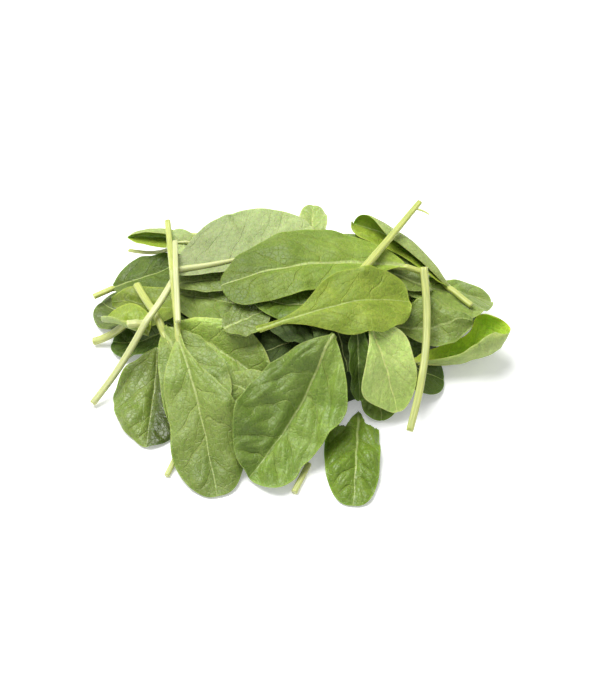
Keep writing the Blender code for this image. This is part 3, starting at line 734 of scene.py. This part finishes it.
def stalk_parts(leaf, rest):
    """A leaf's stalk from its cut end to its base, and on under the blade as a midrib that thins out."""
    outside = line_points(leaf.base, leaf.stalk, rest.stalk, np.linspace(1, 0, 40)[:-1])
    along = np.linspace(0, RIB_REACH, STALK_POINTS)
    rib = blade_points(leaf, rest, along, 0 * along)
    thin = leaf.stalk_radius * (0.12 + 0.88 * (1 - along / RIB_REACH) ** 2.2)
    rib[:, 2] -= thin * 0.8 + 0.45 * smooth_step(along / 0.1)
    radii = np.concatenate([np.full(len(outside), leaf.stalk_radius), thin])
    radii[0] *= CUT_END
    return smoothed_path(np.concatenate([outside, rib]), 3), radii


def midrib_parts(leaf, rest):
    """The midrib of a leaf with no stalk in sight: a thin ridge under the blade."""
    along = np.linspace(0.02, RIB_REACH, STALK_POINTS)
    rib = blade_points(leaf, rest, along, 0 * along)
    if leaf.under:
        thin = 1.25 * (0.12 + 0.88 * (1 - along / RIB_REACH) ** 1.1)
        rib[:, 2] += 0.2 + 0.7 * thin
    else:
        thin = 0.8 * (0.15 + 0.85 * (1 - along / RIB_REACH) ** 2)
        rib[:, 2] -= thin * 0.8 + 0.45
    return rib, thin


def stalk_mesh(path, radii, groove, tint):
    """A round tube along a path, grooved along its top and closed, with what its material reads."""
    forward = unit(np.gradient(path, axis=0))
    left = unit(np.cross(np.array([0, 0, 1.0]), forward))
    up = np.cross(forward, left)
    angle = np.linspace(0, 2 * np.pi, STALK_SIDES, endpoint=False)
    dent = 1 - groove * np.exp(-(((np.remainder(angle + np.pi, 2 * np.pi) - np.pi) / 0.5) ** 2))
    ring = np.cos(angle)[None, :, None] * up[:, None] + np.sin(angle)[None, :, None] * left[:, None]
    points = path[:, None] + ring * (radii[:, None] * dent)[..., None]
    points = np.concatenate([points.reshape(-1, 3), path[[0, -1]]])
    length = np.concatenate([[0], np.cumsum(np.linalg.norm(np.diff(path, axis=0), axis=1))])
    run = np.repeat(length, STALK_SIDES)
    turn = np.tile(np.arange(STALK_SIDES) / STALK_SIDES, len(path))
    place = np.stack([run, turn, 0 * run + tint], -1)
    ends = np.array([[0, 0, tint], [length[-1], 0, tint]])
    cut = np.concatenate([np.zeros(len(run)), [1, 1]])
    return points, *ring_faces(len(path), STALK_SIDES), {"run": np.concatenate([place, ends]), "cut": cut}


# --- Materials ---


class Nodes:
    """Short calls for building a node tree."""

    def __init__(self, name):
        self.material = bpy.data.materials.new(name)
        self.material.use_nodes = True
        self.tree = self.material.node_tree

    def add(self, kind, inputs=None, **settings):
        """A node of one kind with its settings, and its inputs by name or number."""
        node = self.tree.nodes.new(kind)
        for key, value in settings.items():
            setattr(node, key, value)
        for key, value in (inputs or {}).items():
            self.put(node.inputs[key], value)
        return node

    def put(self, socket, value):
        """Links the socket to another, or sets it to a number, vector or colour."""
        if isinstance(value, bpy.types.NodeSocket):
            self.tree.links.new(value, socket)
        elif socket.type == "RGBA":
            socket.default_value = (*value, 1)
        else:
            socket.default_value = value

    def finish(self, inputs):
        """Gives the shader its inputs, and returns the material."""
        for key, value in inputs.items():
            self.put(self.tree.nodes["Principled BSDF"].inputs[key], value)
        return self.material

    def attribute(self, name, output):
        return self.add("ShaderNodeAttribute", attribute_name=name).outputs[output]

    def parts(self, name):
        """The three numbers of a vector that the mesh holds."""
        return self.add("ShaderNodeSeparateXYZ", {0: self.attribute(name, "Vector")}).outputs

    def joined(self, *numbers):
        """Three numbers as a vector."""
        return self.add("ShaderNodeCombineXYZ", dict(enumerate(numbers))).outputs[0]

    def math(self, operation, *values):
        return self.add("ShaderNodeMath", dict(enumerate(values)), operation=operation).outputs[0]

    def times(self, first, second):
        return self.math("MULTIPLY", first, second)

    def plus(self, first, second):
        return self.math("ADD", first, second)

    def line(self, value, slope, start):
        """Start, and slope times the value on top."""
        return self.math("MULTIPLY_ADD", value, slope, start)

    def fade(self, value, low, high, to_low=0, to_high=1):
        """A smooth step from one value to another between low and high."""
        inputs = {"Value": value, "From Min": low, "From Max": high, "To Min": to_low, "To Max": to_high}
        return self.add("ShaderNodeMapRange", inputs, interpolation_type="SMOOTHSTEP").outputs["Result"]

    def mix(self, share, first, second, blend="MIX"):
        """Two colours, blended by a share."""
        inputs = {0: share, 6: first, 7: second}
        return self.add("ShaderNodeMix", inputs, data_type="RGBA", blend_type=blend).outputs[2]

    def noise(self, scale, detail, roughness=0.55, vector=None):
        """Noise over the piece's own place, or over a vector."""
        where = vector or self.add("ShaderNodeTexCoord").outputs["Object"]
        inputs = {"Vector": where, "Scale": scale, "Detail": detail, "Roughness": roughness}
        return self.add("ShaderNodeTexNoise", inputs).outputs["Fac"]

    def bump(self, height, distance, strength=1):
        inputs = {"Height": height, "Distance": distance, "Strength": strength}
        return self.add("ShaderNodeBump", inputs).outputs[0]


def leaf_material(name, settings):
    """Blade: its tone, which carries the leaf's painted light and shade, in patches, lighter veins, midrib
    and rim, and a paler, duller underside.
    """
    nodes = Nodes(name)
    times, plus, line, mix, fade = nodes.times, nodes.plus, nodes.line, nodes.mix, nodes.fade
    tone, gloss = nodes.attribute("tone", "Color"), nodes.attribute("tone", "Alpha")
    phase, out, edge = nodes.parts("veins")
    along, across, links = nodes.parts("run")
    under = nodes.attribute("underside", "Fac")
    where = nodes.add("ShaderNodeTexCoord").outputs["Object"]
    patches, specks = nodes.noise(95, 4), nodes.noise(1500, 2)

    wander = line(nodes.noise(300, 2), 0.06, -0.03)
    near = plus(nodes.math("PINGPONG", phase, 0.5), wander)
    side_vein = fade(nodes.math("DIVIDE", near, fade(out, 0, 12, 0.05, 0.02)), 0.3, 1.1, 1, 0)
    side_vein = times(side_vein, fade(edge, 0.8, 3.5))
    link = plus(nodes.math("PINGPONG", links, 0.5), wander)
    link = times(fade(link, 0.01, 0.045, 1, 0), fade(edge, 1, 4))
    zigzag = times(nodes.math("SINE", times(along, 27)), 0.16)
    from_rib = nodes.math("ABSOLUTE", plus(across, zigzag))
    midrib = fade(nodes.math("DIVIDE", from_rib, line(along, -0.62, 0.78)), 0.25, 0.95, 1, 0)
    cells = {"Vector": where, "Scale": 560, "Randomness": 0.9}
    cells = nodes.add("ShaderNodeTexVoronoi", cells, feature="DISTANCE_TO_EDGE").outputs["Distance"]
    fine_vein = fade(cells, 0, 0.12, 1, 0)

    bright = mix(1, tone, settings.vein_tint, "MULTIPLY")
    colour = mix(fade(patches, 0.35, 0.65), mix(1, tone, settings.cell_tint, "MULTIPLY"), tone)
    for share in (
        times(fine_vein, 0.16),
        times(link, 0.2),
        times(side_vein, line(gloss, 0.5, 0.15)),
        times(fade(specks, 0.45, 0.6), 0.05),
        fade(along, 0, 0.3, 0.35, 0),  # towards the stalk
        times(fade(edge, 0.1, 0.8, 1, 0), line(gloss, 0.7, 0.25)),  # along the rim
    ):
        colour = mix(share, colour, bright)
    colour = mix(times(midrib, 0.8), colour, mix(1, bright, settings.rib_colour, "LIGHTEN"))
    colour = mix(under, colour, mix(0.45, colour, settings.under_colour))
    mottle = fade(nodes.noise(700, 3, 0.7), 0.3, 0.7, 0.88, 1.12)

    rough = line(gloss, -0.55, line(patches, 0.16, settings.roughness + 0.22))
    height = line(fine_vein, -0.5, times(side_vein, -1.2))
    height = plus(plus(height, times(link, -0.5)), times(specks, 0.25))
    return nodes.finish({
        "Base Color": mix(1, colour, nodes.joined(mottle, mottle, mottle), "MULTIPLY"),
        "Roughness": plus(rough, times(under, 0.18)),
        "Normal": nodes.bump(height, settings.vein_relief, 0.8),
        "Subsurface Weight": settings.translucency,
        "Subsurface Radius": (0.55, 1, 0.2),
        "Subsurface Scale": 0.0012,
        "Specular IOR Level": 0.4,
    })


def stalk_material(settings):
    """Stalk: pale yellow-green, streaked lengthwise, glassy, whiter where it is cut."""
    nodes = Nodes("pale_stalk")
    length, turn, tint = nodes.parts("run")
    lines = nodes.noise(2.2, 4, 0.6, nodes.joined(nodes.times(length, 0.06), nodes.times(turn, 9), tint))
    colour = nodes.mix(nodes.fade(lines, 0.35, 0.65), settings.dark_colour, settings.colour)
    colour = nodes.mix(nodes.times(tint, 0.8), colour, settings.pale_colour)
    return nodes.finish({
        "Base Color": nodes.mix(nodes.attribute("cut", "Fac"), colour, settings.cut_colour),
        "Roughness": settings.roughness,
        "Normal": nodes.bump(lines, 0.00015, 0.5),
        "Subsurface Weight": 0.5,
        "Subsurface Radius": (0.9, 1, 0.4),
        "Subsurface Scale": 0.0015,
    })


def filling_material(settings):
    """Filling: crumpled leaf in dark greens that are painted shade, darkest in its folds."""
    nodes = Nodes("dark_filling")
    folds = nodes.noise(70, 5, 0.6)
    return nodes.finish({
        "Base Color": nodes.mix(nodes.fade(folds, 0.35, 0.7), settings.dark_colour, settings.colour),
        "Roughness": 0.6,
        "Normal": nodes.bump(folds, 0.002),
    })


# --- Settings ---


def length_property(name, text, default):
    """A length in metres."""
    return bpy.props.FloatProperty(name=name, description=text, default=default, unit="LENGTH", precision=5)


def share_property(name, text, default, high=1.0):
    """A number from 0 up to high."""
    return bpy.props.FloatProperty(name=name, description=text, default=default, min=0.0, max=high)


def colour_property(name, text, default):
    """A colour, or what another colour is multiplied by."""
    return bpy.props.FloatVectorProperty(
        name=name, description=text, default=default, subtype="COLOR", size=3, min=0.0, max=4.0)


class SPINACH_PG_leaf(bpy.types.PropertyGroup):
    """Thickness and finish of the blades."""

    thickness: length_property("Thickness", "Thickness of a blade", 0.00045)
    vein_relief: length_property("Vein relief", "Depth of the fine veins", 0.00022)
    roughness: share_property("Roughness", "Roughness of the upper side", 0.42)
    translucency: share_property("Translucency", "Share of light that passes into the blade", 0.35)
    vein_tint: colour_property("Vein tint", "Times the leaf's tone, along its veins", (1.5, 1.35, 1.6))
    cell_tint: colour_property("Cell tint", "Times the leaf's tone, between its veins", (0.8, 0.86, 0.72))
    rib_colour: colour_property("Midrib", "Colour of the midrib", (0.42, 0.50, 0.17))
    under_colour: colour_property("Underside", "Mixed into the underside", (0.38, 0.44, 0.22))


class SPINACH_PG_stalk(bpy.types.PropertyGroup):
    """Finish of the stalks."""

    roughness: share_property("Roughness", "Roughness of a stalk", 0.35)
    colour: colour_property("Colour", "Light streaks", (0.54, 0.57, 0.142))
    dark_colour: colour_property("Dark colour", "Dark streaks", (0.35, 0.42, 0.083))
    pale_colour: colour_property("Pale colour", "Of a stalk near its root end", (0.59, 0.61, 0.35))
    cut_colour: colour_property("Cut colour", "Of a cut end", (0.6, 0.63, 0.36))


class SPINACH_PG_filling(bpy.types.PropertyGroup):
    """Size and finish of the buried middle, whose dark greens are painted shade."""

    depth: length_property("Depth", "How far the filling lies under the leaves on it", 0.0012)
    # Painted shade: both colours stand for the shade deep in the heap, the dark one for its folds.
    colour: colour_property("Colour", "Light patches", (0.05, 0.09, 0.015))
    dark_colour: colour_property("Dark colour", "Folds", (0.015, 0.03, 0.005))


class SPINACH_PG_stage(bpy.types.PropertyGroup):
    """Floor, light and camera."""

    elevation: bpy.props.FloatProperty(
        name="Elevation", description="Camera's angle above the floor", default=math.radians(50),
        subtype="ANGLE")
    distance: length_property("Distance", "From the camera to what it looks at", 0.612)
    target: bpy.props.FloatVectorProperty(
        name="Target", description="Point that the camera looks at", default=(0.002, 0.003, 0.012),
        subtype="TRANSLATION", size=3)
    lens: bpy.props.FloatProperty(
        name="Lens", description="Focal length", default=90.0, unit="CAMERA", min=1.0)
    key_power: bpy.props.FloatProperty(
        name="Key light", description="Power of the large soft light", default=13.0, unit="POWER")
    floor_glow: share_property("Floor glow", "Light that the white floor gives off itself", 0.25)
    sky: share_property("Sky", "Strength of the light from all around", 0.48, 5.0)


# --- Operators ---



def dress(piece, material):
    """Gives a piece its material and its place in the model."""
    piece.data.materials.append(material)
    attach(piece, BODY)
    return piece


class LeafGroup:
    """Adds all blades of one group as one piece."""

    bl_options = {"REGISTER", "UNDO"}
    group = ""

    def execute(self, context):
        settings = context.scene.spinach_leaf
        piece = leaf_group(self.group, settings.thickness / MM)
        dress(piece, leaf_material(self.group + "_blade", settings))
        return {"FINISHED"}


class SPINACH_OT_floor_leaves(LeafGroup, bpy.types.Operator):
    """Leaves that lie on the floor round the heap"""

    bl_idname = "spinach.floor_leaves"
    bl_label = "Floor leaves"
    group = "floor_leaves"


class SPINACH_OT_back_leaves(LeafGroup, bpy.types.Operator):
    """Leaves on the back slope of the heap"""

    bl_idname = "spinach.back_leaves"
    bl_label = "Back leaves"
    group = "back_leaves"


class SPINACH_OT_left_leaves(LeafGroup, bpy.types.Operator):
    """Leaves at the left end of the heap"""

    bl_idname = "spinach.left_leaves"
    bl_label = "Left leaves"
    group = "left_leaves"


class SPINACH_OT_right_leaves(LeafGroup, bpy.types.Operator):
    """Leaves at the right end of the heap"""

    bl_idname = "spinach.right_leaves"
    bl_label = "Right leaves"
    group = "right_leaves"


class SPINACH_OT_middle_leaves(LeafGroup, bpy.types.Operator):
    """Leaves in the middle of the heap, half covered"""

    bl_idname = "spinach.middle_leaves"
    bl_label = "Middle leaves"
    group = "middle_leaves"


class SPINACH_OT_front_leaves(LeafGroup, bpy.types.Operator):
    """Large leaves that hang down to the floor in front"""

    bl_idname = "spinach.front_leaves"
    bl_label = "Front leaves"
    group = "front_leaves"


class SPINACH_OT_front_right_leaves(LeafGroup, bpy.types.Operator):
    """The pale leaf at the front right"""

    bl_idname = "spinach.front_right_leaves"
    bl_label = "Front right leaf"
    group = "front_right_leaves"


class SPINACH_OT_crown_leaves(LeafGroup, bpy.types.Operator):
    """Leaves along the back edge of the heap's top"""

    bl_idname = "spinach.crown_leaves"
    bl_label = "Crown leaves"
    group = "crown_leaves"


class SPINACH_OT_top_leaves(LeafGroup, bpy.types.Operator):
    """The two topmost leaves"""

    bl_idname = "spinach.top_leaves"
    bl_label = "Top leaves"
    group = "top_leaves"


class SPINACH_OT_torn_leaf(bpy.types.Operator):
    """The torn leaf that lies in front of the heap"""

    bl_idname = "spinach.torn_leaf"
    bl_label = "Torn leaf"
    bl_options = {"REGISTER", "UNDO"}

    def execute(self, context):
        settings = context.scene.spinach_leaf
        rest = Rest(*TORN_LEAF.heights, np.zeros((LAY_ALONG, LAY_ACROSS)))
        piece = add_mesh("torn_leaf", *blade_mesh(TORN_LEAF, rest, settings.thickness / MM, tear))
        dress(piece, leaf_material("torn_leaf_blade", settings))
        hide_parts("loose_leaf")
        return {"FINISHED"}


class SPINACH_OT_stalks(bpy.types.Operator):
    """The stalks and midribs of the leaves"""

    bl_idname = "spinach.stalks"
    bl_label = "Stalks"
    bl_options = {"REGISTER", "UNDO"}

    def execute(self, context):
        rests = laid_heap()
        stalks, ribs = [], []
        for leaf in HEAP:
            if isinstance(leaf, Stem):
                continue
            if leaf.stalk:
                path, radii = stalk_parts(leaf, rests[leaf.name])
                stalks.append(stalk_mesh(path, radii, 0.25, 0.1))
            else:
                path, radii = midrib_parts(leaf, rests[leaf.name])
                ribs.append(stalk_mesh(path, radii, 0.0, 0.8 * leaf.under))
        material = stalk_material(context.scene.spinach_stalk)
        dress(add_mesh("leaf_stalks", *joined(stalks)), material)
        dress(add_mesh("midribs", *joined(ribs)), material)
        return {"FINISHED"}


class SPINACH_OT_lone_stalks(bpy.types.Operator):
    """The cut stalks that lie alone on the heap"""

    bl_idname = "spinach.lone_stalks"
    bl_label = "Lone stalks"
    bl_options = {"REGISTER", "UNDO"}

    def execute(self, context):
        rests = laid_heap()
        stems = []
        for stem in HEAP:
            if isinstance(stem, Stem):
                share = np.linspace(0, 1, STALK_POINTS)
                path = line_points(stem.start, stem.end, rests[stem.name], share, stem.bend)
                radii = stem.radius + (stem.end_radius - stem.radius) * share
                radii[[0, -1]] *= CUT_END
                stems.append(stalk_mesh(smoothed_path(path, 4), radii, 0.3, stem.pale))
        material = stalk_material(context.scene.spinach_stalk)
        dress(add_mesh("lone_stalks", *joined(stems)), material)
        return {"FINISHED"}


class SPINACH_OT_filling(bpy.types.Operator):
    """The buried middle of the heap"""

    bl_idname = "spinach.filling"
    bl_label = "Filling"
    bl_options = {"REGISTER", "UNDO"}

    def execute(self, context):
        settings = context.scene.spinach_filling
        depth = settings.depth / MM
        reach = np.sin(np.linspace(0, np.pi / 2, FILLING_RINGS + 1)[1:])[:, None]
        turn = np.linspace(0, 2 * np.pi, FILLING_SECTORS, endpoint=False)[None, :]
        shares = np.linspace(0, 1, 200)[:, None]
        x, y = mound_place(shares, turn)
        limit = np.cumprod(mound_height(x, y) > LEAST_HEIGHT, axis=0).sum(axis=0) / len(shares)
        x, y = mound_place(reach * limit, turn)
        crumple = 0.5 * np.sin(x / 2.9) * np.sin(y / 3.7) + 0.4 * np.sin(x / 1.7 + y / 2.3)
        z = np.maximum(mound_height(x, y) - depth + crumple, 0.1) * (reach < 0.9999)
        points = np.stack([x, y, z], -1).reshape(-1, 3)
        middle = np.array([[*MOUND_CENTRE, mound_height(*MOUND_CENTRE) - depth], [*MOUND_CENTRE, 0]])
        faces = ring_faces(FILLING_RINGS, FILLING_SECTORS)
        piece = add_mesh("filling", np.concatenate([points, middle]), *faces, {})
        dress(piece, filling_material(settings))
        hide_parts("spinach_heap")
        return {"FINISHED"}


class SPINACH_OT_stage(bpy.types.Operator):
    """Floor, lights and camera"""

    bl_idname = "spinach.stage"
    bl_label = "Stage"
    bl_options = {"REGISTER", "UNDO"}

    def execute(self, context):
        stage = context.scene.spinach_stage
        scene = context.scene
        corners = np.array([[-1, -1, 0], [1, -1, 0], [1, 1, 0], [-1, 1, 0]]) * FLOOR_SIZE / MM
        floor = add_mesh("floor", corners, np.array([[0, 1, 2, 3]]), NO_TRIANGLES, {})
        floor.data.materials.append(Nodes("white_floor").finish({
            "Base Color": (0.93, 0.93, 0.93),
            "Roughness": 0.9,
            "Specular IOR Level": 0.1,
            "Emission Color": (0.96, 0.98, 1),
            "Emission Strength": stage.floor_glow,
        }))

        world = bpy.data.worlds.new("white_sky")
        world.use_nodes = True
        sky = world.node_tree.nodes["Background"]
        sky.inputs["Color"].default_value = (1, 1, 1, 1)
        sky.inputs["Strength"].default_value = stage.sky
        scene.world = world

        lamp = bpy.data.lights.new("key", "AREA")
        lamp.shape = "DISK"
        lamp.size = KEY_SIZE
        lamp.energy = stage.key_power
        key = bpy.data.objects.new("key", lamp)
        scene.collection.objects.link(key)
        aim = -unit(np.array(KEY_PLACE))
        key.location = KEY_PLACE
        key.rotation_euler = (math.acos(-aim[2]), 0, math.atan2(aim[0], -aim[1]) + math.pi)

        lens = bpy.data.cameras.new("camera")
        lens.lens = stage.lens
        lens.sensor_width = 36
        camera = bpy.data.objects.new("camera", lens)
        scene.collection.objects.link(camera)
        back = np.array([0, -math.cos(stage.elevation), math.sin(stage.elevation)])
        camera.location = np.array(stage.target) + back * stage.distance
        camera.rotation_euler = (math.pi / 2 - stage.elevation, 0, 0)
        scene.camera = camera
        scene.view_settings.view_transform = "Standard"
        return {"FINISHED"}


class SPINACH_PT_panel(bpy.types.Panel):
    """Lists the pieces of the heap and their settings."""

    bl_idname = "SPINACH_PT_panel"
    bl_label = "Baby spinach heap"
    bl_space_type = "VIEW_3D"
    bl_region_type = "UI"
    bl_category = "Spinach"

    def draw(self, context):
        for group in GROUPS:
            box = self.layout.box()
            settings = getattr(context.scene, group)
            for key in settings.__annotations__:
                box.prop(settings, key)
        for operator in OPERATORS:
            self.layout.operator(operator.bl_idname)


GROUPS = {
    "spinach_leaf": SPINACH_PG_leaf,
    "spinach_stalk": SPINACH_PG_stalk,
    "spinach_filling": SPINACH_PG_filling,
    "spinach_stage": SPINACH_PG_stage,
}
OPERATORS = (
    SPINACH_OT_filling,
    SPINACH_OT_floor_leaves,
    SPINACH_OT_back_leaves,
    SPINACH_OT_left_leaves,
    SPINACH_OT_right_leaves,
    SPINACH_OT_middle_leaves,
    SPINACH_OT_front_leaves,
    SPINACH_OT_front_right_leaves,
    SPINACH_OT_crown_leaves,
    SPINACH_OT_top_leaves,
    SPINACH_OT_torn_leaf,
    SPINACH_OT_stalks,
    SPINACH_OT_lone_stalks,
    SPINACH_OT_stage,
)


def register():
    """Adds the settings, the operators and the panel."""
    for group in (*GROUPS.values(), *OPERATORS, SPINACH_PT_panel):
        bpy.utils.register_class(group)
    for name, group in GROUPS.items():
        setattr(bpy.types.Scene, name, bpy.props.PointerProperty(type=group))


def unregister():
    """Takes them away again."""
    for name in GROUPS:
        delattr(bpy.types.Scene, name)
    for group in reversed((*GROUPS.values(), *OPERATORS, SPINACH_PT_panel)):
        bpy.utils.unregister_class(group)


def main():
    """Adds all pieces and the stage."""
    register()
    for operator in OPERATORS:
        getattr(bpy.ops.spinach, operator.bl_idname.split(".")[1])()


if __name__ == "__main__":
    main()
